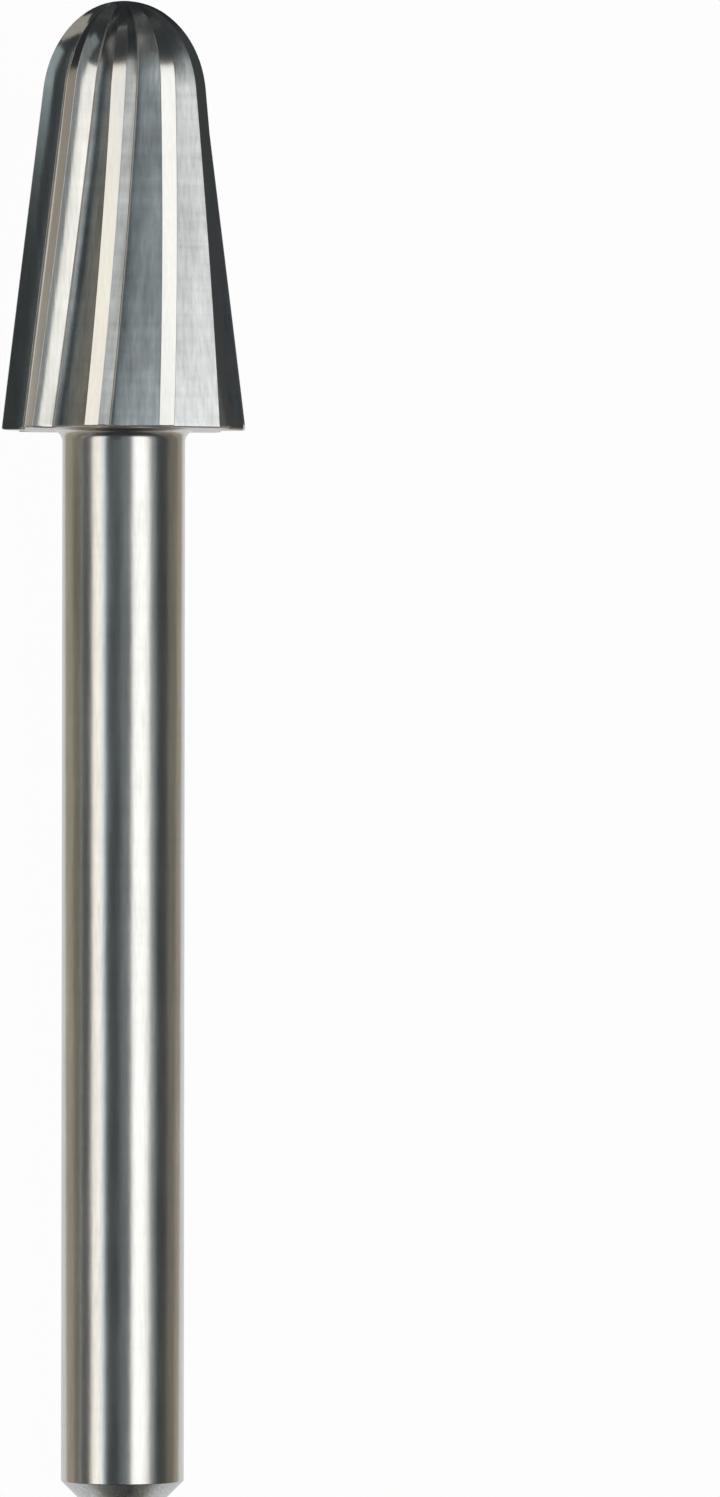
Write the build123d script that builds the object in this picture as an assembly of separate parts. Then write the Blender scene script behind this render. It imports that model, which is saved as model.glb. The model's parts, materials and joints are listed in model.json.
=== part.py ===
from build123d import *
import os
from math import acos, atan, atan2, cos, degrees, hypot, pi, radians, sin, tan

# Rotary carving bit: one bar of high-speed steel, turned to shape, with a fluted, round-nosed conical head.
# It is drawn along Z, with the head's flat base at z = 0 and the tip at +Z, and laid down at the end.
# All lengths are in millimetres and all angles in degrees.

# Shank
shank_diameter = 3.175
shank_length = 28.0
end_chamfer = 0.85
neck_fillet = 0.3

# Head envelope: a cone that runs tangent into an elliptic nose, with a small flat pad at the tip.
# The stretch is the nose's length over its radius: 1 would make it a ball.
head_diameter = 6.35
head_length = 11.1
cone_half_angle = 6.3
nose_stretch = 1.2
tip_pad_diameter = 0.3

# Teeth: right-hand helix, right-hand cut. Land and rake face keep their width along the cone and
# shrink with the radius over the nose. The angles are given at the head's base: the wheel that grinds
# the flutes follows their twist only in part, so that rake and clearance grow towards the tip.
tooth_count = 10
helix_lead = 245.0
rake_angle = -22.5
rake_width = 0.565
land_width = 0.4
land_clearance = 14.0
gullet_radius = 0.08
wheel_lag = 0.6

# Rings of tooth sections that the head is lofted through
cone_rings = 5
nose_rings = 9

# Derived sizes
shank_radius = shank_diameter / 2
head_radius = head_diameter / 2
tip_pad_radius = tip_pad_diameter / 2
cone_angle = radians(cone_half_angle)
nose_first_angle = atan(nose_stretch * tan(cone_angle))
nose_radius = (head_radius - head_length * tan(cone_angle)) / (
    cos(nose_first_angle) - nose_stretch * (1 - sin(nose_first_angle)) * tan(cone_angle)
)
nose_length = nose_stretch * nose_radius
nose_centre = head_length - nose_length
nose_last_angle = acos(tip_pad_radius / nose_radius)
nose_start = nose_centre + nose_length * sin(nose_first_angle)
nose_start_radius = nose_radius * cos(nose_first_angle)
half_pitch = pi / tooth_count


def tooth_section(radius, height):
    """One tooth space at this radius of the envelope, as (angle, depth) pairs.

    Angles are measured from the middle between two cutting edges, in radians. The order is: cutting
    edge of the left tooth, foot of its rake face, bottom of the rounded gullet, foot of the right
    tooth's back, heel of its land, its cutting edge.
    """
    shrink = min(1, radius / nose_start_radius)
    lag = radians(wheel_lag * 360 * height / helix_lead)
    left_edge = Vector(-radius * sin(half_pitch), radius * cos(half_pitch))
    right_edge = Vector(radius * sin(half_pitch), radius * cos(half_pitch))
    rake = half_pitch - radians(rake_angle) + lag
    down_rake = Vector(sin(rake), -cos(rake))
    land = half_pitch - radians(land_clearance) - lag
    up_land = Vector(cos(land), -sin(land))

    # The back runs from the corner at the foot of the rake face to the heel, and an arc rounds the corner.
    corner = left_edge + down_rake * (rake_width * shrink)
    heel = right_edge - up_land * (land_width * shrink)
    up_back = (heel - corner).normalized()
    half_opening = acos(-down_rake.dot(up_back)) / 2
    gullet = gullet_radius * shrink
    setback = gullet / tan(half_opening)
    bisector = (up_back - down_rake).normalized()
    bottom = corner + bisector * (gullet / sin(half_opening) - gullet)

    points = [left_edge, corner - down_rake * setback, bottom, corner + up_back * setback, heel, right_edge]
    return [(atan2(point.X, point.Y), radius - hypot(point.X, point.Y)) for point in points]


def tooth_ring(radius, height, tilt, depth_share=1.0):
    """A closed ring of tooth spaces on the envelope, each cut in along a direction tilted up by tilt."""
    section = tooth_section(radius, height)
    edges = []
    for tooth in range(tooth_count):
        middle = 2 * pi * (tooth / tooth_count + height / helix_lead) - pi / 2
        points = []
        for angle, depth in section:
            outward = Vector(cos(middle + angle), sin(middle + angle))
            inward = outward * -cos(tilt) - Vector(0, 0, sin(tilt))
            place = outward * radius + Vector(0, 0, height)
            points.append(place + inward * (depth * depth_share))
        edges.append(Edge.make_line(points[0], points[1]))
        if depth_share > 0:
            edges.append(Edge.make_three_point_arc(points[1], points[2], points[3]))
        else:
            edges.append(Edge.make_line(points[1], points[3]))
        edges.append(Edge.make_line(points[3], points[4]))
        edges.append(Edge.make_line(points[4], points[5]))
    return Wire(edges)


def fluted_cone():
    """The conical part of the head, from its base to where the nose begins."""
    rings = []
    for step in range(cone_rings):
        height = nose_start * step / (cone_rings - 1)
        rings.append(tooth_ring(head_radius - height * tan(cone_angle), height, 0))
    return Solid.make_loft(rings)


def fluted_nose():
    """The elliptic nose: the flutes swing over it and run out at the tip's pad."""
    rings = []
    for step in range(nose_rings):
        share = step / (nose_rings - 1)
        angle = nose_first_angle + (nose_last_angle - nose_first_angle) * share
        height = nose_centre + nose_length * sin(angle)
        depth_share = 1.0 if step < nose_rings - 1 else 0.0
        rings.append(tooth_ring(nose_radius * cos(angle), height, share * pi / 2, depth_share))
    return Solid.make_loft(rings)


def turned_shank():
    """The shank as turned: a chamfered end, a plain cylinder and a fillet up to the head's base."""
    fillet_side = neck_fillet * (1 - cos(radians(45)))
    outline = Polyline(
        (shank_radius + neck_fillet, 0),
        (0, 0),
        (0, -shank_length),
        (shank_radius - end_chamfer, -shank_length),
        (shank_radius, end_chamfer - shank_length),
        (shank_radius, -neck_fillet),
    )
    outline += ThreePointArc(
        (shank_radius, -neck_fillet),
        (shank_radius + fillet_side, -fillet_side),
        (shank_radius + neck_fillet, 0),
    )
    return revolve(Plane.XZ * make_face(outline), axis=Axis.Z)


def laid_down(bit):
    """The bit as it rests: on a cutting edge, the heel of the land next to it, and the shank's end rim."""
    section = tooth_section(head_radius, 0)
    edge, heel = [
        Vector(sin(angle), cos(angle)) * (head_radius - depth)
        for angle, depth in (section[0], section[-2])
    ]
    across = (heel - edge).normalized()
    roll_angle = degrees(atan2(across.Y, across.X))
    resting_radius = across.cross(edge).Z
    rest_angle = degrees(atan((resting_radius - shank_radius) / (shank_length - end_chamfer)))
    lying = Rot(rest_angle - 90, 0, 0) * Rot(0, 0, roll_angle) * bit
    box = lying.bounding_box()
    return Pos(-box.center().X, -box.center().Y, -box.min.Z) * lying


os.makedirs("parts", exist_ok=True)
carving_bit = laid_down(turned_shank() + fluted_cone() + fluted_nose())
carving_bit.label = "carving_bit"
export_step(carving_bit, "parts/carving_bit.step")
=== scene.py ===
import json
from math import acos, atan, atan2, cos, hypot, pi, radians, sin, tan

import bmesh
import bpy
from bpy.props import FloatProperty, FloatVectorProperty, IntProperty, PointerProperty
from mathutils import Matrix, Vector


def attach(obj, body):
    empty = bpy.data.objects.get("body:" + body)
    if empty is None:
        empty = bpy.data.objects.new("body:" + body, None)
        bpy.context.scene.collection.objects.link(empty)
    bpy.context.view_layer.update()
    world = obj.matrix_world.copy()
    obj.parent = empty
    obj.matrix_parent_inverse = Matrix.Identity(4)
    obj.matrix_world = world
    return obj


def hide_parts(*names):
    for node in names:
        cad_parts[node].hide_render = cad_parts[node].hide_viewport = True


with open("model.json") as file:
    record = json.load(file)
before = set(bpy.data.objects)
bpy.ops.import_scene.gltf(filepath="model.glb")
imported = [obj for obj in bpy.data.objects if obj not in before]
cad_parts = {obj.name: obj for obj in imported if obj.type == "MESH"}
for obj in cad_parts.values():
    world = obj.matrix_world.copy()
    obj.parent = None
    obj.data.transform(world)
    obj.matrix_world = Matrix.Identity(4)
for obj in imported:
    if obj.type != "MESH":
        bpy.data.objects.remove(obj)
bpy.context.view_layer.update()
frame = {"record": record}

bl_info = {
    "name": "Rotary Carving Bit",
    "version": (1, 0, 0),
    "blender": (4, 5, 0),
    "location": "3D View > Sidebar > Carving Bit",
    "description": "Models a ground steel carving bit and the small studio that it lies in",
    "category": "Add Mesh",
}

MM = 0.001

# The frame gives the shank's grip: its middle, its direction, its radius and its length
GRIP = next(mount for mount in frame["record"]["mounts"] if mount["name"] == "shank")
GRIP_MIDDLE = Vector(GRIP["pos_m"])
TO_TIP = -Vector(GRIP["axis"]).normalized()
GRIP_RADIUS = GRIP["dims"]["r_mm"] * MM
GRIP_LENGTH = GRIP["dims"]["length_mm"] * MM

# Middle of the head's base, which the neck's fillet parts from the grip, and the bit's tilt at rest
NECK_FILLET = 0.3 * MM
HEAD_BASE = GRIP_MIDDLE + TO_TIP * (GRIP_LENGTH / 2 + NECK_FILLET)
TILT = atan2(TO_TIP.z, TO_TIP.y)

# Square to the bit: to the right, and up from the floor
TO_RIGHT = Vector((1, 0, 0))
UPWARD = TO_RIGHT.cross(TO_TIP)

# Steps of the mesh across each part of a tooth space, and along the head
RAKE_STEPS = 5
GULLET_STEPS = 6
BACK_STEPS = 6
LAND_STEPS = 3
COLUMNS = RAKE_STEPS + GULLET_STEPS + BACK_STEPS + LAND_STEPS
BACK_COLUMN = RAKE_STEPS + GULLET_STEPS
HEEL_COLUMN = BACK_COLUMN + BACK_STEPS
CONE_STEPS = 24
NOSE_STEPS = 24
FILLET_STEPS = 6
SHANK_STEPS = 14

# The flutes run out over this last share of the nose
RUN_OUT = 0.125

# Steps across the roundings of the base's rim and of the edges, which end at this angle of the nose
RIM_SEGMENTS = 4
EDGE_SEGMENTS = 3
LAST_ROUNDED_ANGLE = radians(62)

# Slack when vertices are picked, in millimetres: at the base's rim, at the sharp lines and the shank's
# end, and where two finishes meet. The rim is picked this far outside the neck's fillet.
RIM_SLACK = 0.0001
LINE_SLACK = 0.001
FINISH_SLACK = 0.002
RIM_CLEARANCE = 0.1

# Lower than any point of the bit, in millimetres from the head's base
FAR_BELOW = -100

# Slack in a column's angle, and the angle under which faces are shaded as one
COLUMN_SLACK = radians(0.1)
SMOOTH_ANGLE = radians(35)

# The camera: its lean to the right of straight up, its distance, where it aims from the head's base,
# and its turn about its own line of sight
CAMERA_LEAN = radians(-6.34)
CAMERA_DISTANCE = 268.8 * MM
CAMERA_ALONG = -8.22 * MM
CAMERA_ASIDE = 6.12 * MM
CAMERA_ROLL = radians(0.077)

# Its lens and sensor in millimetres, and the nearest thing it sees in metres
CAMERA_LENS = 250
CAMERA_SENSOR = 36
CAMERA_NEAR = 0.01

# The floor's side in metres, and the share of a white glow in what the camera and reflections see of it
FLOOR_SIDE = 3
FLOOR_TO_CAMERA = 0.97
FLOOR_TO_REFLECTIONS = 0.75

# Where the horizon's colour ends and the ceiling's begins, as the height of a direction of length 1
HORIZON_TOP = 0.05
CEILING_START = 0.35

# Distance of the lamps and the hanging card from the bit's axis, and where the lamps and the shank's
# cards start. Places along the bit are measured from the head's base.
LAMP_DISTANCE = 150 * MM
LIGHTS_START = -100 * MM

# Cards beside the bit: how far aside of its axis the shank's and the head's stand, and the height of
# their foot against the axis, which the card past the shank's end shares
SHANK_CARDS_ASIDE = 9 * MM
HEAD_CARDS_ASIDE = 8 * MM
CARDS_FOOT = -8 * MM

# Places along the bit: where the shank's cards meet the head's, where the head's left ones end, where
# its floor card meets the tip's, and where the two floor cards past the shank's end meet
NECK_LINE = 0.5 * MM
HEAD_CARDS_END = 12 * MM
TIP_LINE = 11 * MM
END_LINE = -40 * MM

# Where the head's two cards on the left meet, above the axis
LEFT_CARDS_MEET = -0.7 * MM

# Reach of the dark cards, to the sides on the floor and along the head's right, and of the floor cards
# past both ends, and the lift of what lies on the floor
DARK_REACH = 100 * MM
FAR_REACH = 200 * MM
CARD_LIFT = 0.01 * MM

# Stretch of the rings that grinding leaves round the bit
RING_STRETCH = (0.25, 0.25, 5.0)

# Numbers of a Mix node's colour sockets, which share their names with others
MIX_FIRST = 6
MIX_SECOND = 7
MIX_RESULT = 2


# Settings


class BitSizes(bpy.types.PropertyGroup):
    """Sizes of the bit"""

    shank_diameter: FloatProperty(
        name="Shank Diameter",
        description="Diameter of the plain round shank",
        default=2 * GRIP_RADIUS,
        unit="LENGTH",
        precision=5,
    )
    grip_length: FloatProperty(
        name="Grip Length",
        description="Length of the cylindrical part of the shank",
        default=GRIP_LENGTH,
        unit="LENGTH",
        precision=5,
    )
    end_chamfer: FloatProperty(
        name="End Chamfer",
        description="Size of the 45 degree chamfer at the shank's end",
        default=0.85 * MM,
        unit="LENGTH",
        precision=5,
    )
    neck_fillet: FloatProperty(
        name="Neck Fillet",
        description="Radius between the shank and the head's base",
        default=NECK_FILLET,
        unit="LENGTH",
        precision=5,
    )
    head_diameter: FloatProperty(
        name="Head Diameter",
        description="Diameter over the cutting edges at the head's base",
        default=6.35 * MM,
        unit="LENGTH",
        precision=5,
    )
    head_length: FloatProperty(
        name="Head Length",
        description="Length of the head from its base to the tip",
        default=11.1 * MM,
        unit="LENGTH",
        precision=5,
    )
    cone_half_angle: FloatProperty(
        name="Cone Half Angle",
        description="Angle between the axis and the cutting edges of the cone",
        default=radians(6.3),
        subtype="ANGLE",
    )
    nose_stretch: FloatProperty(
        name="Nose Stretch",
        description="Length of the elliptic nose over its radius: 1 would make it a ball",
        default=1.2,
        min=0.5,
        max=2,
    )
    tip_pad_diameter: FloatProperty(
        name="Tip Pad Diameter",
        description="Small flat at the very tip",
        default=0.3 * MM,
        unit="LENGTH",
        precision=5,
    )
    tooth_count: IntProperty(
        name="Teeth",
        description="Number of cutting edges",
        default=10,
        min=4,
        max=20,
    )
    helix_lead: FloatProperty(
        name="Helix Lead",
        description="Length in which a flute would go once round",
        default=245 * MM,
        unit="LENGTH",
        precision=4,
    )
    rake_angle: FloatProperty(
        name="Rake Angle",
        description="Lean of the rake face against the radius at the base, negative when it leans back",
        default=radians(-17.7),
        subtype="ANGLE",
    )
    rake_width: FloatProperty(
        name="Rake Width",
        description="Width of the rake face, from the cutting edge down to the corner of the flute",
        default=0.59 * MM,
        unit="LENGTH",
        precision=5,
    )
    land_width: FloatProperty(
        name="Land Width",
        description="Width of the bright land behind each cutting edge",
        default=0.4 * MM,
        unit="LENGTH",
        precision=5,
    )
    land_clearance: FloatProperty(
        name="Land Clearance",
        description="Drop of the land against the round of the head, at the base",
        default=radians(14),
        subtype="ANGLE",
    )
    rake_lag: FloatProperty(
        name="Rake Lag",
        description="Share of the flutes' twist that the rake faces don't follow",
        default=1.0,
        min=0,
        max=1,
    )
    land_lag: FloatProperty(
        name="Land Lag",
        description="Share of the flutes' twist that the lands don't follow",
        default=0.6,
        min=0,
        max=1,
    )
    rake_hollow: FloatProperty(
        name="Rake Hollow",
        description="How far the hollow-ground rake face turns from its edge to its foot",
        default=radians(8.75),
        subtype="ANGLE",
    )
    back_hollow: FloatProperty(
        name="Back Hollow",
        description="How far the hollow-ground back turns from its foot to the heel",
        default=radians(2),
        subtype="ANGLE",
    )
    gullet_radius: FloatProperty(
        name="Gullet Radius",
        description="Radius at the bottom of a flute",
        default=0.05 * MM,
        unit="LENGTH",
        precision=5,
    )
    rim_break: FloatProperty(
        name="Rim Break",
        description="Width of the rounding round the head's base",
        default=0.07 * MM,
        unit="LENGTH",
        precision=5,
    )
    edge_break: FloatProperty(
        name="Edge Break",
        description="Width of the tiny rounding on the edges",
        default=0.012 * MM,
        unit="LENGTH",
        precision=6,
    )


class BitFinish(bpy.types.PropertyGroup):
    """Colours and finishes of the steel, with painted shade in the gullets"""

    steel_colour: FloatVectorProperty(
        name="Steel",
        description="Colour of the ground steel",
        default=(0.60, 0.60, 0.59),
        subtype="COLOR",
        min=0,
        max=1,
    )
    back_colour: FloatVectorProperty(
        name="Tooth Backs",
        description="Colour of the satin tooth backs",
        default=(0.50, 0.52, 0.53),
        subtype="COLOR",
        min=0,
        max=1,
    )
    # Painted shade: the flute bottoms get a darker colour than the faces beside them, which stands in for
    # shade in these hollows.
    gullet_colour: FloatVectorProperty(
        name="Gullets",
        description="Colour of the dull bottoms of the flutes",
        default=(0.40, 0.385, 0.35),
        subtype="COLOR",
        min=0,
        max=1,
    )
    land_colour: FloatVectorProperty(
        name="Lands and Rake Faces",
        description="Colour of the bright faces on both sides of the edges",
        default=(0.54, 0.54, 0.53),
        subtype="COLOR",
        min=0,
        max=1,
    )


class StudioLook(bpy.types.PropertyGroup):
    """Floor, lamps and surroundings"""

    floor_colour: FloatVectorProperty(
        name="Floor",
        description="Colour of the pale floor",
        default=(0.90, 0.87, 0.80),
        subtype="COLOR",
        min=0,
        max=1,
    )
    warm_lamp_colour: FloatVectorProperty(
        name="Warm Lamp",
        description="Colour and strength of the narrow lamp on the left",
        default=(1.6, 1.5, 1.34),
        subtype="COLOR",
        min=0,
        max=10,
    )
    cool_lamp_colour: FloatVectorProperty(
        name="Cool Lamp",
        description="Colour and strength of the thin lamp along the inner side of the warm one",
        default=(1.1, 1.28, 1.4),
        subtype="COLOR",
        min=0,
        max=10,
    )
    # This and the card colours below are glows that only the steel's reflections see; the cards are no
    # lamps.
    fading_card_colour: FloatVectorProperty(
        name="Fading Card",
        description="Colour at the far end of the card overhead that the leftmost rake face mirrors",
        default=(0.44, 0.53, 0.55),
        subtype="COLOR",
        min=0,
        max=1,
    )
    overhead_lamp_colour: FloatVectorProperty(
        name="Overhead Lamp",
        description="Colour and strength of the dim lamp overhead",
        default=(0.13, 0.155, 0.17),
        subtype="COLOR",
        min=0,
        max=10,
    )
    right_lamp_colour: FloatVectorProperty(
        name="Right Lamp",
        description="Colour and strength of the broad lamp on the right",
        default=(1.75, 1.73, 1.68),
        subtype="COLOR",
        min=0,
        max=10,
    )
    short_lamp_colour: FloatVectorProperty(
        name="Short Lamp",
        description="Colour and strength of the short lamp along the outer side of the broad one",
        default=(1.49, 1.46, 1.38),
        subtype="COLOR",
        min=0,
        max=10,
    )
    side_lamp_colour: FloatVectorProperty(
        name="Side Lamp",
        description="Colour and strength of the dim lamp farthest to the right",
        default=(0.24, 0.26, 0.27),
        subtype="COLOR",
        min=0,
        max=10,
    )
    ceiling_colour: FloatVectorProperty(
        name="Ceiling",
        description="Dim cool colour overhead",
        default=(0.05, 0.058, 0.06),
        subtype="COLOR",
        min=0,
        max=1,
    )
    horizon_colour: FloatVectorProperty(
        name="Horizon",
        description="Paler colour round the horizon",
        default=(0.10, 0.10, 0.095),
        subtype="COLOR",
        min=0,
        max=1,
    )
    brown_card_colour: FloatVectorProperty(
        name="Brown Cards",
        description="Colour of the low cards that the sides of the bit mirror",
        default=(0.235, 0.215, 0.175),
        subtype="COLOR",
        min=0,
        max=1,
    )
    warm_card_colour: FloatVectorProperty(
        name="Warm Cards",
        description="Colour of the paler cards on and near the floor",
        default=(0.44, 0.385, 0.31),
        subtype="COLOR",
        min=0,
        max=1,
    )
    pale_card_colour: FloatVectorProperty(
        name="Pale Card",
        description="Colour of the high card past the tip",
        default=(0.50, 0.48, 0.42),
        subtype="COLOR",
        min=0,
        max=1,
    )
    black_card_colour: FloatVectorProperty(
        name="Black Cards",
        description="Colour of the dark cards right of the head, past the tip and past the shank's end",
        default=(0.07, 0.076, 0.08),
        subtype="COLOR",
        min=0,
        max=1,
    )


# Modelling


class Form:
    """The bit's sizes in millimetres and radians, and those that follow from them."""

    def __init__(self, sizes):
        self.shank_radius = sizes.shank_diameter / MM / 2
        self.grip_length = sizes.grip_length / MM
        self.end_chamfer = sizes.end_chamfer / MM
        self.neck_fillet = sizes.neck_fillet / MM
        self.head_radius = sizes.head_diameter / MM / 2
        self.slope = sizes.cone_half_angle
        self.pad_radius = sizes.tip_pad_diameter / MM / 2
        self.tooth_count = sizes.tooth_count
        self.half_pitch = pi / sizes.tooth_count
        self.lead = sizes.helix_lead / MM
        self.rake_angle = sizes.rake_angle
        self.rake_width = sizes.rake_width / MM
        self.rake_hollow = sizes.rake_hollow
        self.back_hollow = sizes.back_hollow
        self.land_width = sizes.land_width / MM
        self.land_clearance = sizes.land_clearance
        self.gullet_radius = sizes.gullet_radius / MM
        self.rake_lag = sizes.rake_lag
        self.land_lag = sizes.land_lag
        self.edge_break = sizes.edge_break / MM
        self.rim_break = sizes.rim_break / MM

        # The elliptic nose runs tangent out of the cone
        length = sizes.head_length / MM
        stretch = sizes.nose_stretch
        self.first_angle = atan(stretch * tan(self.slope))
        self.nose_radius = (self.head_radius - length * tan(self.slope)) / (
            cos(self.first_angle) - stretch * (1 - sin(self.first_angle)) * tan(self.slope)
        )
        self.nose_length = stretch * self.nose_radius
        self.nose_centre = length - self.nose_length
        self.last_angle = acos(self.pad_radius / self.nose_radius)
        self.nose_start = self.nose_centre + self.nose_length * sin(self.first_angle)
        self.nose_start_radius = self.nose_radius * cos(self.first_angle)

        # Below the head's base, which lies at height 0
        self.grip_top = -self.neck_fillet
        self.grip_bottom = self.grip_top - self.grip_length

    def twist(self, height):
        """How far the flutes have turned at this height."""
        return 2 * pi * height / self.lead


def hollow_line(start, end, sweep, steps):
    """Points from start up to just before end, on a line or on a hollow that turns by sweep."""
    along = end - start
    into_steel = Vector((along.y, -along.x)) * (sweep / 8)
    shares = [step / steps for step in range(steps)]
    return [start + along * share + into_steel * (4 * share * (1 - share)) for share in shares]


def tooth_space(form, radius, height):
    """One tooth space where the head has this radius, as (angle, depth) pairs for the mesh's columns.

    Angles are measured from the middle between two cutting edges. The columns go down the rake face,
    round the gullet, up the back and over the land.
    """
    shrink = min(1, radius / form.nose_start_radius)
    twist = form.twist(height)
    left_edge = Vector((-radius * sin(form.half_pitch), radius * cos(form.half_pitch)))
    right_edge = Vector((radius * sin(form.half_pitch), radius * cos(form.half_pitch)))
    rake = form.half_pitch - form.rake_angle + form.rake_lag * twist
    down_rake = Vector((sin(rake), -cos(rake)))
    land = form.half_pitch - form.land_clearance - form.land_lag * twist
    up_land = Vector((cos(land), -sin(land)))

    # Rake face and back meet in a corner, which the round gullet cuts off
    corner = left_edge + down_rake * (form.rake_width * shrink)
    heel = right_edge - up_land * (form.land_width * shrink)
    up_back = (heel - corner).normalized()
    half_opening = acos(-down_rake.dot(up_back)) / 2
    gullet = form.gullet_radius * shrink
    rake_foot = corner - down_rake * (gullet / tan(half_opening))
    back_foot = corner + up_back * (gullet / tan(half_opening))
    centre = corner + (up_back - down_rake).normalized() * (gullet / sin(half_opening))

    points = hollow_line(left_edge, rake_foot, form.rake_hollow, RAKE_STEPS)
    for step in range(GULLET_STEPS):
        spoke = (rake_foot - centre).slerp(back_foot - centre, step / GULLET_STEPS)
        points.append(centre + spoke.normalized() * gullet)
    points += hollow_line(back_foot, heel, form.back_hollow, BACK_STEPS)
    points += hollow_line(heel, right_edge, 0, LAND_STEPS)
    return [(atan2(point.x, point.y), radius - point.length) for point in points]


def head_ring(form, step):
    """A ring of the head by its number from the base: its twist, and its places by column."""
    share = max(0, step - CONE_STEPS) / NOSE_STEPS
    tilt = share * pi / 2
    depth_share = min(1, (1 - share) / RUN_OUT)
    if step <= CONE_STEPS:
        height = form.nose_start * step / CONE_STEPS
        radius = form.head_radius - height * tan(form.slope)
    else:
        angle = form.first_angle + (form.last_angle - form.first_angle) * share
        height = form.nose_centre + form.nose_length * sin(angle)
        radius = form.nose_radius * cos(angle)
    twist = form.twist(height)
    places = []
    for angle, depth in tooth_space(form, radius, height):
        cut = depth * depth_share
        places.append((twist + angle, radius - cut * cos(tilt), height - cut * sin(tilt)))
    return twist, places


def edit_shape():
    """The mesh that is being edited."""
    shape = bmesh.from_edit_mesh(bpy.context.edit_object.data)
    shape.verts.index_update()
    return shape


def pick(wanted):
    """Selects only the vertices with these numbers, and what lies between them."""
    bpy.ops.mesh.select_all(action="DESELECT")
    shape = edit_shape()
    shape.verts.ensure_lookup_table()
    for number in wanted:
        shape.verts[number].select_set(True)
    shape.select_flush(True)
    bmesh.update_edit_mesh(bpy.context.edit_object.data)


def picked():
    """Numbers of the selected vertices."""
    return {vertex.index for vertex in edit_shape().verts if vertex.select}


def ring_columns(form, twist):
    """The selected ring's vertices, grouped by the column of the tooth space that they stand in."""
    start = twist - pi / 2 - form.half_pitch - COLUMN_SLACK
    ring = [vertex for vertex in edit_shape().verts if vertex.select]
    ring.sort(key=lambda vertex: (atan2(vertex.co.y, vertex.co.x) - start) % (2 * pi))
    return [{vertex.index for vertex in ring[column::COLUMNS]} for column in range(COLUMNS)]


def turn_picked(angle):
    """Turns what is selected about the bit's axis, counter-clockwise seen from the tip."""
    if angle:
        bpy.ops.transform.rotate(value=-angle, orient_axis="Z", center_override=(0, 0, 0))


def widen_picked(share):
    """Scales what is selected away from the bit's axis, or towards it."""
    if abs(share - 1) > 1e-9:
        bpy.ops.transform.resize(value=(share, share, 1), center_override=(0, 0, 0))


def next_ring(rise=0.0, share=1.0):
    """Extrudes the selected ring along the axis and scales the new one."""
    bpy.ops.mesh.extrude_edges_move(TRANSFORM_OT_translate={"value": (0, 0, rise)})
    widen_picked(share)


def move_columns(form, twist, before, after):
    """Moves the selected ring, column by column, from its places before to those after."""
    ring = picked()
    for members, old, new in zip(ring_columns(form, twist), before, after):
        pick(members)
        turn_picked(new[0] - old[0])
        widen_picked(new[1] / old[1])
        bpy.ops.transform.translate(value=(0, 0, new[2] - old[2]))
    pick(ring)


def even_columns(form, radius):
    """A round ring's places by column, at the head's base."""
    step = 2 * pi / (form.tooth_count * COLUMNS)
    return [(column * step - form.half_pitch, radius, 0.0) for column in range(COLUMNS)]


def draw_base(form):
    """Draws the outline of the head's base: a circle whose columns move to the section of the teeth."""
    count = form.tooth_count * COLUMNS
    bpy.ops.mesh.primitive_circle_add(vertices=count, radius=form.head_radius, fill_type="NOTHING")
    piece = bpy.context.object
    bpy.ops.object.mode_set(mode="EDIT")
    bpy.ops.mesh.select_mode(type="VERT")
    twist, places = head_ring(form, 0)
    move_columns(form, twist, even_columns(form, form.head_radius), places)
    return piece


def mark_columns(piece, form):
    """Puts the columns of each ground face, and of each sharp line, into a vertex group of its own."""
    base = picked()
    columns = ring_columns(form, 0)
    columns.append(columns[0])
    stretches = {
        "ground_rakes": columns[:RAKE_STEPS + 1],
        "dull_shaded_gullets": columns[RAKE_STEPS:BACK_COLUMN + 1],
        "satin_backs": columns[BACK_COLUMN:HEEL_COLUMN + 1],
        "bright_lands": columns[HEEL_COLUMN:],
        "sharp_lines": [columns[0], columns[HEEL_COLUMN]],
    }
    bpy.context.scene.tool_settings.vertex_group_weight = 1.0
    for name, members in stretches.items():
        group = piece.vertex_groups.new(name=name)
        piece.vertex_groups.active_index = group.index
        pick(set().union(*members))
        bpy.ops.object.vertex_group_assign()
    pick(base)


def raise_head(form):
    """Extrudes the toothed outline up the cone and over the nose, where the flutes run out."""
    twist, places = head_ring(form, 0)
    for step in range(1, CONE_STEPS + NOSE_STEPS + 1):
        new_twist, new_places = head_ring(form, step)
        next_ring()
        move_columns(form, twist, places, new_places)
        twist, places = new_twist, new_places
    bpy.ops.mesh.edge_face_add()


def turn_shank(form):
    """From the head's base inwards and down: the flat underside, the fillet, the grip and the end."""
    radius = form.shank_radius + form.neck_fillet
    twist, places = head_ring(form, 0)
    next_ring()
    move_columns(form, twist, places, even_columns(form, radius))
    height = 0.0
    for number in range(1, FILLET_STEPS + 1):
        angle = pi / 2 * number / FILLET_STEPS
        new_radius = form.shank_radius + form.neck_fillet * (1 - sin(angle))
        new_height = -form.neck_fillet * (1 - cos(angle))
        next_ring(new_height - height, new_radius / radius)
        radius, height = new_radius, new_height
    for number in range(SHANK_STEPS):
        next_ring(-form.grip_length / SHANK_STEPS)
    next_ring(-form.end_chamfer, (form.shank_radius - form.end_chamfer) / form.shank_radius)
    bpy.ops.mesh.edge_face_add()


def pick_group(piece, name):
    """Adds a vertex group to the selection."""
    piece.vertex_groups.active_index = piece.vertex_groups[name].index
    bpy.ops.object.vertex_group_select()


def round_rim(form):
    """Rounds the rim of the head's base, which is dulled so that it doesn't cut the fingers."""
    underside = form.shank_radius + form.neck_fillet + RIM_CLEARANCE
    chosen = set()
    for vertex in edit_shape().verts:
        if abs(vertex.co.z) < RIM_SLACK and hypot(vertex.co.x, vertex.co.y) > underside:
            chosen.add(vertex.index)
    pick(chosen)
    bpy.ops.mesh.bevel(offset=form.rim_break, segments=RIM_SEGMENTS, profile=0.5, affect="EDGES")


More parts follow.
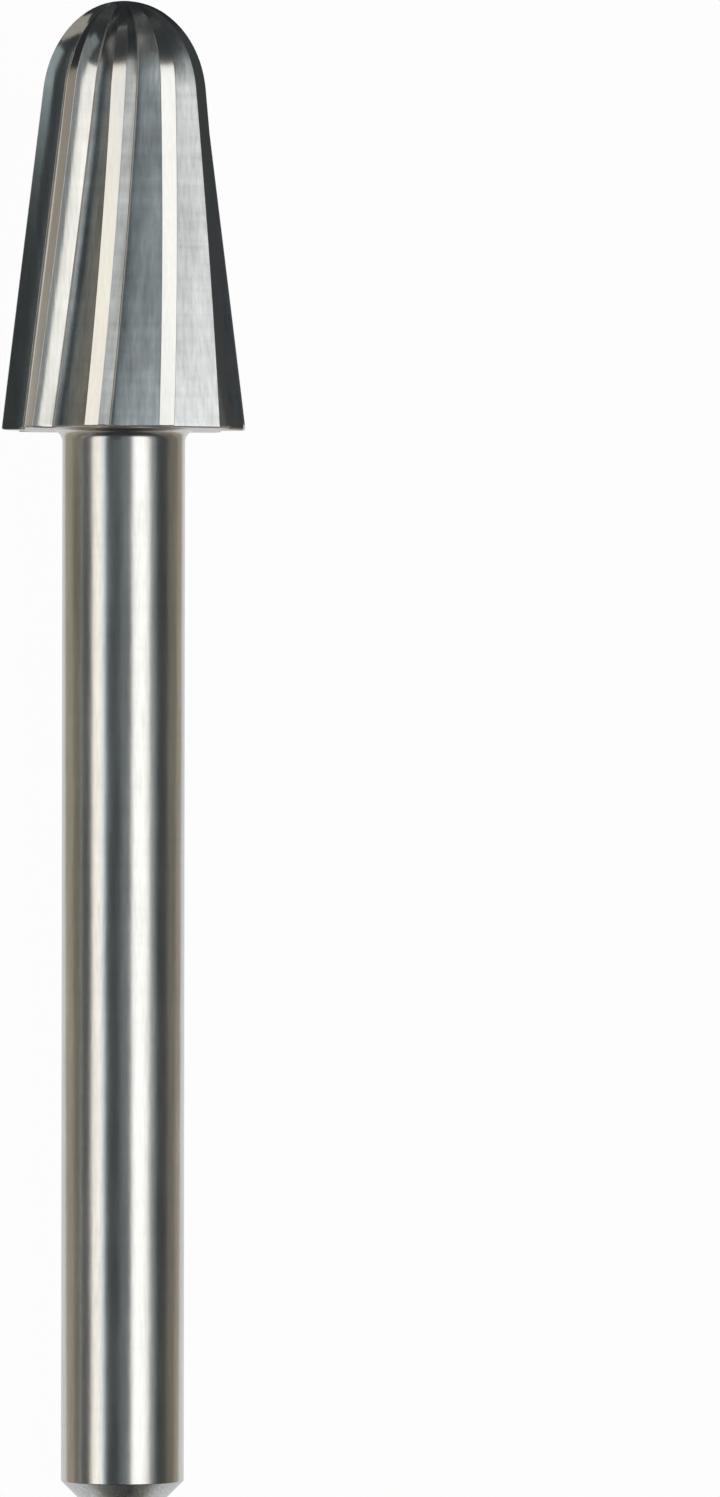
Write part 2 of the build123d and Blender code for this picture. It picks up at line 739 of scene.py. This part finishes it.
def break_edges(piece, form):
    """Rounds the cutting edges, the heels and the corners of the shank's end by a hair."""
    limit = form.nose_centre + form.nose_length * sin(LAST_ROUNDED_ANGLE)
    bpy.ops.mesh.select_all(action="DESELECT")
    pick_group(piece, "sharp_lines")
    chosen = set()
    for vertex in edit_shape().verts:
        height = vertex.co.z
        on_line = vertex.select and LINE_SLACK < height < limit
        on_end = height < form.grip_bottom + LINE_SLACK
        if on_line or on_end:
            chosen.add(vertex.index)
    pick(chosen)
    leave_chamfer_flat(form)
    bpy.ops.mesh.bevel(offset=form.edge_break, segments=EDGE_SEGMENTS, profile=0.5, affect="EDGES")


def leave_chamfer_flat(form):
    """Leaves the chamfer's two rims selected, and not the lines that join them."""
    for edge in edit_shape().edges:
        low, high = sorted(vertex.co.z for vertex in edge.verts)
        at_end = high < form.grip_bottom + LINE_SLACK
        if edge.select and at_end and high - low > LINE_SLACK:
            edge.select = False
    bmesh.update_edit_mesh(bpy.context.edit_object.data)


def rest_roll(form):
    """How far the bit rolls to lie on one tooth's cutting edge and the heel of the next tooth's land."""
    space = tooth_space(form, form.head_radius, 0)
    edge, heel = [
        Vector((sin(angle), cos(angle))) * (form.head_radius - depth)
        for angle, depth in (space[0], space[HEEL_COLUMN])
    ]
    return atan2(heel.y - edge.y, heel.x - edge.x)


def lay_down(piece, form):
    """Takes the finished bit from millimetres along Z to its place at rest on the floor."""
    roll = Matrix.Rotation(rest_roll(form), 4, "Z")
    tip_over = Matrix.Rotation(TILT - pi / 2, 4, "X")
    piece.matrix_world = Matrix.Translation(HEAD_BASE) @ tip_over @ roll @ Matrix.Scale(MM, 4)
    bpy.ops.object.transform_apply(location=True, rotation=True, scale=True)


# Materials


class Value:
    """A node's output that Python's operators work on by adding Math nodes."""

    def __init__(self, bench, socket):
        self.bench = bench
        self.socket = socket

    def math(self, operation, *values):
        return self.bench.add("ShaderNodeMath", {"operation": operation}, *values)

    def __add__(self, other):
        return self.math("ADD", self, other)

    def __radd__(self, other):
        return self.math("ADD", other, self)

    def __sub__(self, other):
        return self.math("SUBTRACT", self, other)

    def __rsub__(self, other):
        return self.math("SUBTRACT", other, self)

    def __mul__(self, other):
        return self.math("MULTIPLY", self, other)

    def __rmul__(self, other):
        return self.math("MULTIPLY", other, self)


class Bench:
    """Adds nodes to one material's or world's tree."""

    def __init__(self, owner):
        owner.use_nodes = True
        self.tree = owner.node_tree
        self.tree.nodes.clear()

    def node(self, kind, settings, *values, **named):
        """A node of this kind: its settings first, then its sockets by order or by name."""
        node = self.tree.nodes.new(kind)
        for setting, value in settings.items():
            setattr(node, setting, value)
        sockets = list(enumerate(values))
        sockets += [(name.replace("_", " "), value) for name, value in named.items()]
        for key, value in sockets:
            if isinstance(value, Value):
                self.tree.links.new(value.socket, node.inputs[key])
            elif isinstance(value, bpy.types.NodeSocket):
                self.tree.links.new(value, node.inputs[key])
            else:
                node.inputs[key].default_value = value
        return node

    def add(self, kind, settings, *values, out=0, **named):
        """The same, but gives one output, ready for maths."""
        return Value(self, self.node(kind, settings, *values, **named).outputs[out])

    def mix_colours(self, share, first, second):
        """A colour between two, by a share."""
        settings = {"data_type": "RGBA"}
        mix = self.node("ShaderNodeMix", settings, share)
        for key, value in ((MIX_FIRST, first), (MIX_SECOND, second)):
            if isinstance(value, Value):
                self.tree.links.new(value.socket, mix.inputs[key])
            else:
                mix.inputs[key].default_value = (*value, 1)
        return Value(self, mix.outputs[MIX_RESULT])

    def noise(self, place, scale, detail=2.0):
        """Soft noise round 0.5."""
        return self.add("ShaderNodeTexNoise", {}, Vector=place, Scale=scale, Detail=detail)


def steel(name, finish):
    """A ground steel. The finish says its colour, its roughness and the marks of its grinding.

    Patterns are drawn in millimetres in the bit's own frame, with z along its axis.
    """
    material = bpy.data.materials.new(name)
    bench = Bench(material)
    coordinates = bench.add("ShaderNodeTexCoord", {}, out="Object")
    place = bench.add(
        "ShaderNodeMapping",
        {"vector_type": "TEXTURE"},
        coordinates,
        tuple(HEAD_BASE),
        (TILT - pi / 2, 0, 0),
        (MM, MM, MM),
    )
    streaks = bench.add("ShaderNodeVectorMath", {"operation": "MULTIPLY"}, place, finish["stretch"])
    fine = bench.noise(streaks, finish["fine_scale"], 3)
    patches = bench.noise(streaks, finish["patch_scale"], 2)
    rings = bench.add("ShaderNodeVectorMath", {"operation": "MULTIPLY"}, place, RING_STRETCH)
    chatter = bench.noise(rings, 1.0, 2) - 0.5
    shade = finish["mottle"] * (patches - 0.5) + finish["streak"] * (fine - 0.5) + 0.5
    shade = shade + finish["chatter"] * chatter
    colour = bench.mix_colours(shade, finish["dark"], finish["light"])
    roughness = finish["roughness"] + finish["roughness_change"] * (patches - 0.5)
    height = fine * finish["fine_height"] + patches * finish["patch_height"]
    bump = bench.add("ShaderNodeBump", {}, Strength=1.0, Distance=MM, Height=height)
    surface = bench.node(
        "ShaderNodeBsdfPrincipled",
        {},
        Base_Color=colour,
        Metallic=1.0,
        Roughness=roughness,
        Normal=bump,
    )
    bench.node("ShaderNodeOutputMaterial", {}, surface.outputs[0])
    return material


def shades(colour, change):
    """A darker and a lighter shade round a colour."""
    dark = tuple(part * (1 - change) for part in colour)
    light = tuple(min(1, part * (1 + change)) for part in colour)
    return {"dark": dark, "light": light}


def steel_finishes(colours):
    """The seven finishes on the bit."""
    return {
        # Painted shade: the gullets' darker colour stands in for shade at the flute bottoms; their higher
        # roughness is their own dull finish.
        "dull_shaded_gullets": {
            **shades(colours.gullet_colour, 0.3),
            "stretch": (1, 1, 0.15),
            "fine_scale": 12.0,
            "patch_scale": 3.0,
            "mottle": 1.0,
            "streak": 0.7,
            "chatter": 0.3,
            "roughness": 0.5,
            "roughness_change": 0.1,
            "fine_height": 0.0006,
            "patch_height": 0.003,
        },
        "satin_backs": {
            **shades(colours.back_colour, 0.34),
            "stretch": (1, 1, 0.15),
            "fine_scale": 12.0,
            "patch_scale": 2.4,
            "mottle": 1.1,
            "streak": 0.7,
            "chatter": 0.5,
            "roughness": 0.26,
            "roughness_change": 0.08,
            "fine_height": 0.0006,
            "patch_height": 0.003,
        },
        "bright_lands": {
            **shades(colours.land_colour, 0.15),
            "stretch": (1, 1, 0.1),
            "fine_scale": 16.0,
            "patch_scale": 4.0,
            "mottle": 0.5,
            "streak": 0.4,
            "chatter": 0.1,
            "roughness": 0.18,
            "roughness_change": 0.05,
            "fine_height": 0.0002,
            "patch_height": 0.0008,
        },
        "ground_rakes": {
            **shades(colours.land_colour, 0.25),
            "stretch": (1, 1, 0.12),
            "fine_scale": 14.0,
            "patch_scale": 3.0,
            "mottle": 0.8,
            "streak": 0.6,
            "chatter": 0.2,
            "roughness": 0.12,
            "roughness_change": 0.04,
            "fine_height": 0.0004,
            "patch_height": 0.002,
        },
        "turned_faces": {
            **shades(colours.steel_colour, 0.25),
            "stretch": (0.3, 0.3, 8.0),
            "fine_scale": 3.0,
            "patch_scale": 1.2,
            "mottle": 0.7,
            "streak": 0.5,
            "chatter": 0.0,
            "roughness": 0.36,
            "roughness_change": 0.08,
            "fine_height": 0.001,
            "patch_height": 0.002,
        },
        "ground_end": {
            **shades(colours.back_colour, 0.3),
            "stretch": (1, 1, 0.2),
            "fine_scale": 18.0,
            "patch_scale": 5.0,
            "mottle": 0.8,
            "streak": 1.2,
            "chatter": 0.0,
            "roughness": 0.26,
            "roughness_change": 0.08,
            "fine_height": 0.001,
            "patch_height": 0.001,
        },
        "ground_shank": {
            **shades(colours.steel_colour, 0.25),
            "stretch": (1, 1, 0.12),
            "fine_scale": 14.0,
            "patch_scale": 2.6,
            "mottle": 0.8,
            "streak": 0.5,
            "chatter": 0.15,
            "roughness": 0.23,
            "roughness_change": 0.08,
            "fine_height": 0.0004,
            "patch_height": 0.002,
        },
    }


def finish_faces(piece, form, colours):
    """Gives each face the finish of the grinding that made it, with painted shade in the gullets, by its
    vertex group or its height.
    """
    heights = {
        "turned_faces": (FAR_BELOW, FINISH_SLACK),
        "ground_end": (FAR_BELOW, form.grip_bottom + FINISH_SLACK),
        "ground_shank": (form.grip_bottom - FINISH_SLACK, -FINISH_SLACK),
    }
    finishes = steel_finishes(colours)
    bpy.ops.object.mode_set(mode="OBJECT")
    for name, finish in finishes.items():
        bpy.ops.object.material_slot_add()
        piece.active_material = steel(name, finish)
    bpy.ops.object.mode_set(mode="EDIT")
    for number, name in enumerate(finishes):
        bpy.ops.mesh.select_all(action="DESELECT")
        if name in heights:
            low, high = heights[name]
            pick({vertex.index for vertex in edit_shape().verts if low < vertex.co.z < high})
        else:
            pick_group(piece, name)
        piece.active_material_index = number
        bpy.ops.object.material_slot_assign()


# Operators, studio and panel


class BIT_OT_model_bit(bpy.types.Operator):
    """Model the fluted head and the shank in one piece, finish the steel and lay the bit down"""

    bl_idname = "carving_bit.model_bit"
    bl_label = "Model the Bit"

    def execute(self, context):
        form = Form(context.scene.bit_sizes)
        bpy.ops.object.select_all(action="DESELECT")
        piece = draw_base(form)
        piece.name = "carving_bit_steel"
        mark_columns(piece, form)
        base = picked()
        raise_head(form)
        pick(base)
        turn_shank(form)
        bpy.ops.mesh.select_all(action="SELECT")
        bpy.ops.mesh.normals_make_consistent(inside=False)
        finish_faces(piece, form, context.scene.bit_finish)
        round_rim(form)
        break_edges(piece, form)
        bpy.ops.object.mode_set(mode="OBJECT")
        bpy.ops.object.vertex_group_remove(all=True)
        bpy.ops.object.shade_smooth_by_angle(angle=SMOOTH_ANGLE)
        piece.modifiers.new("even_normals", "WEIGHTED_NORMAL").keep_sharp = True
        bpy.ops.object.modifier_apply(modifier="even_normals")
        lay_down(piece, form)

        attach(piece, "root")
        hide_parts("carving_bit")
        return {"FINISHED"}


class BIT_OT_set_studio(bpy.types.Operator):
    """Set the pale floor, the long lamps, the low glowing cards, the surroundings and the camera"""

    bl_idname = "carving_bit.set_studio"
    bl_label = "Set the Studio"

    def execute(self, context):
        look = context.scene.studio_look
        lay_floor(look)
        hang_lamps(look)
        set_cards(look)
        paint_surroundings(look)
        place_camera()
        return {"FINISHED"}


def add_plane(name, centre, right, along, width, length):
    """A rectangle with the given directions, its place kept in its mesh."""
    bpy.ops.object.select_all(action="DESELECT")
    bpy.ops.mesh.primitive_plane_add(size=1)
    plane = bpy.context.object
    plane.name = name
    plane.matrix_world = placing(centre, right, along)
    plane.scale = (width, length, 1)
    bpy.ops.object.transform_apply(location=True, rotation=True, scale=True)
    return plane


def placing(centre, right, along):
    """The matrix of something that looks along its own -Z, with these right and up directions."""
    facing = right.cross(along)
    turn = Matrix((right, along, facing)).transposed().to_4x4()
    return Matrix.Translation(centre) @ turn


def lay_floor(look):
    """The floor: pale, nearly white to the camera and to reflections, with the bit's soft shadow."""
    floor = add_plane("studio_floor", Vector((0, 0, 0)), TO_RIGHT, Vector((0, 1, 0)), FLOOR_SIDE, FLOOR_SIDE)
    material = bpy.data.materials.new("pale_floor")
    bench = Bench(material)
    rays = bench.node("ShaderNodeLightPath", {})
    seen = Value(bench, rays.outputs["Is Camera Ray"])
    glossy = Value(bench, rays.outputs["Is Glossy Ray"])
    mirrored = glossy + Value(bench, rays.outputs["Is Transmission Ray"])
    paper = bench.node("ShaderNodeBsdfDiffuse", {}, (*look.floor_colour, 1))
    glow = bench.node("ShaderNodeEmission", {}, (1, 1, 1, 1), 1.0)
    share = seen * FLOOR_TO_CAMERA + mirrored * FLOOR_TO_REFLECTIONS
    mixed = bench.node("ShaderNodeMixShader", {}, share, paper.outputs[0], glow.outputs[0])
    bench.node("ShaderNodeOutputMaterial", {}, mixed.outputs[0])
    floor.data.materials.append(material)


def overhead(direction, near, far):
    """Middle of what hangs parallel to the bit from near to far, and its right-hand side.

    The direction is an angle to the right of the camera's.
    """
    angle = CAMERA_LEAN + direction
    outward = TO_RIGHT * sin(angle) + UPWARD * cos(angle)
    middle = HEAD_BASE + outward * LAMP_DISTANCE + TO_TIP * ((near + far) / 2)
    return middle, TO_TIP.cross(outward)


def hang_lamp(name, direction, width, near, far, colour):
    """A lamp parallel to the bit, from near to far."""
    centre, right = overhead(direction, near, far)
    length = far - near
    bpy.ops.object.select_all(action="DESELECT")
    bpy.ops.object.light_add(type="AREA")
    lamp = bpy.context.object
    lamp.name = name
    lamp.data.shape = "RECTANGLE"
    lamp.data.size = width
    lamp.data.size_y = length
    lamp.data.color = colour
    lamp.data.energy = pi * width * length
    lamp.matrix_world = placing(centre, right, TO_TIP)
    lamp.visible_camera = False


def hang_lamps(look):
    """The lamps from left to right: bright strips on both sides, dim ones between and beside them."""
    hang_lamp("warm_lamp", radians(-49.2), 52.9 * MM, LIGHTS_START, 112 * MM, look.warm_lamp_colour)
    hang_lamp("cool_lamp", radians(-36.2), 15.7 * MM, LIGHTS_START, 100 * MM, look.cool_lamp_colour)
    hang_lamp("overhead_lamp", radians(3), 36.8 * MM, LIGHTS_START, 95 * MM, look.overhead_lamp_colour)
    hang_lamp("right_lamp", radians(29.7), 65.7 * MM, LIGHTS_START, 118 * MM, look.right_lamp_colour)
    hang_lamp("short_lamp", radians(46.8), 24.9 * MM, LIGHTS_START, 56 * MM, look.short_lamp_colour)
    hang_lamp("side_lamp", radians(58), 34.4 * MM, LIGHTS_START, 118 * MM, look.side_lamp_colour)


def card_glow_material(name, colour):
    """The glow of a card, which is no lamp: its colour is what the steel mirrors."""
    material = bpy.data.materials.new(name)
    bench = Bench(material)
    glow = bench.node("ShaderNodeEmission", {}, (*colour, 1), 1.0)
    bench.node("ShaderNodeOutputMaterial", {}, glow.outputs[0])
    return material


def fading_glow_material(name, dark, light, near, far):
    """A glow that goes from dark to light between these places along the bit."""
    material = bpy.data.materials.new(name)
    bench = Bench(material)
    coordinates = bench.add("ShaderNodeTexCoord", {}, out="Object")
    along = bench.add("ShaderNodeSeparateXYZ", {}, coordinates, out="Y")
    start = HEAD_BASE.y + near
    end = HEAD_BASE.y + far
    smooth = {"interpolation_type": "SMOOTHSTEP"}
    share = bench.add("ShaderNodeMapRange", smooth, along, start, end, 0.0, 1.0)
    glow = bench.node("ShaderNodeEmission", {}, bench.mix_colours(share, dark, light), 1.0)
    bench.node("ShaderNodeOutputMaterial", {}, glow.outputs[0])
    return material


def hide_from_all_but_steel(card, paint):
    """A glowing card that only the steel mirrors."""
    card.data.materials.append(paint)
    card.visible_camera = False
    card.visible_diffuse = False
    card.visible_shadow = False


def stand_card(name, paint, side, near, far, bottom, top):
    """A card that stands beside the bit, between these heights from its axis and from near to far."""
    middle = HEAD_BASE + TO_RIGHT * side + TO_TIP * ((near + far) / 2) + UPWARD * ((bottom + top) / 2)
    card = add_plane(name, middle, UPWARD, TO_TIP, top - bottom, far - near)
    hide_from_all_but_steel(card, paint)


def face_card(name, paint, place, left, right, bottom, top):
    """A card that stands square to the bit's axis, at this place along it."""
    aside = TO_RIGHT * ((left + right) / 2)
    middle = HEAD_BASE + aside + TO_TIP * place + UPWARD * ((bottom + top) / 2)
    card = add_plane(name, middle, TO_RIGHT, UPWARD, right - left, top - bottom)
    hide_from_all_but_steel(card, paint)


def lay_card(name, paint, left, right, near, far):
    """A card flat on the floor, between these lines beside the bit's axis and along it."""
    middle = Vector(((left + right) / 2, HEAD_BASE.y + (near + far) / 2, CARD_LIFT))
    card = add_plane(name, middle, TO_RIGHT, Vector((0, 1, 0)), right - left, far - near)
    hide_from_all_but_steel(card, paint)


def hang_card(name, paint, direction, width, near, far):
    """A card that hangs parallel to the bit, from near to far."""
    middle, right = overhead(direction, near, far)
    card = add_plane(name, middle, right, TO_TIP, width, far - near)
    hide_from_all_but_steel(card, paint)


def set_cards(look):
    """The glowing cards, no lamps, that only the steel mirrors: brown and warm ones low on the sides, nearly
    black ones by the head's right and past both ends, a pale one past the tip and one overhead."""
    brown = card_glow_material("brown_card", look.brown_card_colour)
    warm = card_glow_material("warm_card", look.warm_card_colour)
    pale = card_glow_material("pale_card", look.pale_card_colour)
    black = card_glow_material("black_card", look.black_card_colour)
    deep_black = card_glow_material("deep_black_card", tuple(part / 2 for part in look.black_card_colour))
    stand_card("shank_left_card", brown, -SHANK_CARDS_ASIDE, LIGHTS_START, NECK_LINE, CARDS_FOOT, 0.8 * MM)
    stand_card("shank_right_card", brown, SHANK_CARDS_ASIDE, LIGHTS_START, NECK_LINE, CARDS_FOOT, 1.6 * MM)
    lay_card("shank_left_floor_card", warm, -SHANK_CARDS_ASIDE, -3.6 * MM, LIGHTS_START, NECK_LINE)
    lay_card("shank_right_floor_card", warm, 4.6 * MM, SHANK_CARDS_ASIDE, LIGHTS_START, NECK_LINE)
    left = -HEAD_CARDS_ASIDE
    stand_card("head_left_card", brown, left, NECK_LINE, HEAD_CARDS_END, LEFT_CARDS_MEET, 3.5 * MM)
    stand_card("head_lower_left_card", warm, left, NECK_LINE, HEAD_CARDS_END, CARDS_FOOT, LEFT_CARDS_MEET)
    stand_card("head_right_card", black, HEAD_CARDS_ASIDE, NECK_LINE, DARK_REACH, CARDS_FOOT, 1.8 * MM)
    lay_card("head_floor_card", black, 0, DARK_REACH, NECK_LINE, TIP_LINE)
    lay_card("tip_floor_card", deep_black, -DARK_REACH, DARK_REACH, TIP_LINE, FAR_REACH)
    face_card("tip_card", pale, 150 * MM, -74 * MM, -8 * MM, 60 * MM, 420 * MM)
    lay_card("end_floor_card", brown, -SHANK_CARDS_ASIDE, SHANK_CARDS_ASIDE, END_LINE, -34 * MM)
    lay_card("far_end_floor_card", deep_black, -DARK_REACH, DARK_REACH, -FAR_REACH, END_LINE)
    face_card("end_card", deep_black, -70 * MM, -40 * MM, 40 * MM, CARDS_FOOT, 60 * MM)
    fading = fading_glow_material("fading_card", look.ceiling_colour, look.fading_card_colour, 2 * MM, 14 * MM)
    hang_card("head_card", fading, radians(-12.5), 48 * MM, 4 * MM, 88 * MM)


def paint_surroundings(look):
    """The world: dim and cool overhead, paler round the horizon."""
    world = bpy.data.worlds.new("studio_surroundings")
    bpy.context.scene.world = world
    bench = Bench(world)
    direction = bench.add("ShaderNodeTexCoord", {}, out="Generated")
    height = bench.add("ShaderNodeSeparateXYZ", {}, direction, out="Z")
    smooth = {"interpolation_type": "SMOOTHSTEP"}
    share = bench.add("ShaderNodeMapRange", smooth, height, HORIZON_TOP, CEILING_START, 0.0, 1.0)
    colour = bench.mix_colours(share, look.horizon_colour, look.ceiling_colour)
    glow = bench.node("ShaderNodeBackground", {}, colour, 1.0)
    bench.node("ShaderNodeOutputWorld", {}, glow.outputs[0])


def place_camera():
    """The camera looks down on the bit, square to its axis and from slightly to its left."""
    back = TO_RIGHT * sin(CAMERA_LEAN) + UPWARD * cos(CAMERA_LEAN)
    right = TO_TIP.cross(back)
    target = HEAD_BASE + TO_TIP * CAMERA_ALONG + right * CAMERA_ASIDE
    bpy.ops.object.select_all(action="DESELECT")
    bpy.ops.object.camera_add()
    camera = bpy.context.object
    camera.name = "camera"
    level = right * cos(CAMERA_ROLL) + TO_TIP * sin(CAMERA_ROLL)
    camera.matrix_world = placing(target + back * CAMERA_DISTANCE, level, back.cross(level))
    camera.data.lens = CAMERA_LENS
    camera.data.sensor_width = CAMERA_SENSOR
    camera.data.clip_start = CAMERA_NEAR
    bpy.context.scene.camera = camera


class BIT_PT_panel(bpy.types.Panel):
    """Lists the steps that make the bit and its studio"""

    bl_idname = "BIT_PT_panel"
    bl_label = "Carving Bit"
    bl_space_type = "VIEW_3D"
    bl_region_type = "UI"
    bl_category = "Carving Bit"

    def draw(self, context):
        layout = self.layout
        scene = context.scene
        for group in (scene.bit_sizes, scene.bit_finish, scene.studio_look):
            box = layout.box()
            for name in group.__annotations__:
                box.prop(group, name)
        for operator in (BIT_OT_model_bit, BIT_OT_set_studio):
            layout.operator(operator.bl_idname)


CLASSES = (BitSizes, BitFinish, StudioLook, BIT_OT_model_bit, BIT_OT_set_studio, BIT_PT_panel)


def register():
    for item in CLASSES:
        bpy.utils.register_class(item)
    bpy.types.Scene.bit_sizes = PointerProperty(type=BitSizes)
    bpy.types.Scene.bit_finish = PointerProperty(type=BitFinish)
    bpy.types.Scene.studio_look = PointerProperty(type=StudioLook)


def unregister():
    del bpy.types.Scene.studio_look
    del bpy.types.Scene.bit_finish
    del bpy.types.Scene.bit_sizes
    for item in reversed(CLASSES):
        bpy.utils.unregister_class(item)


def main():
    """Registers the add-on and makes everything."""
    register()
    bpy.context.scene.view_settings.view_transform = "Standard"
    bpy.ops.carving_bit.set_studio()
    bpy.ops.carving_bit.model_bit()


if __name__ == "__main__":
    main()
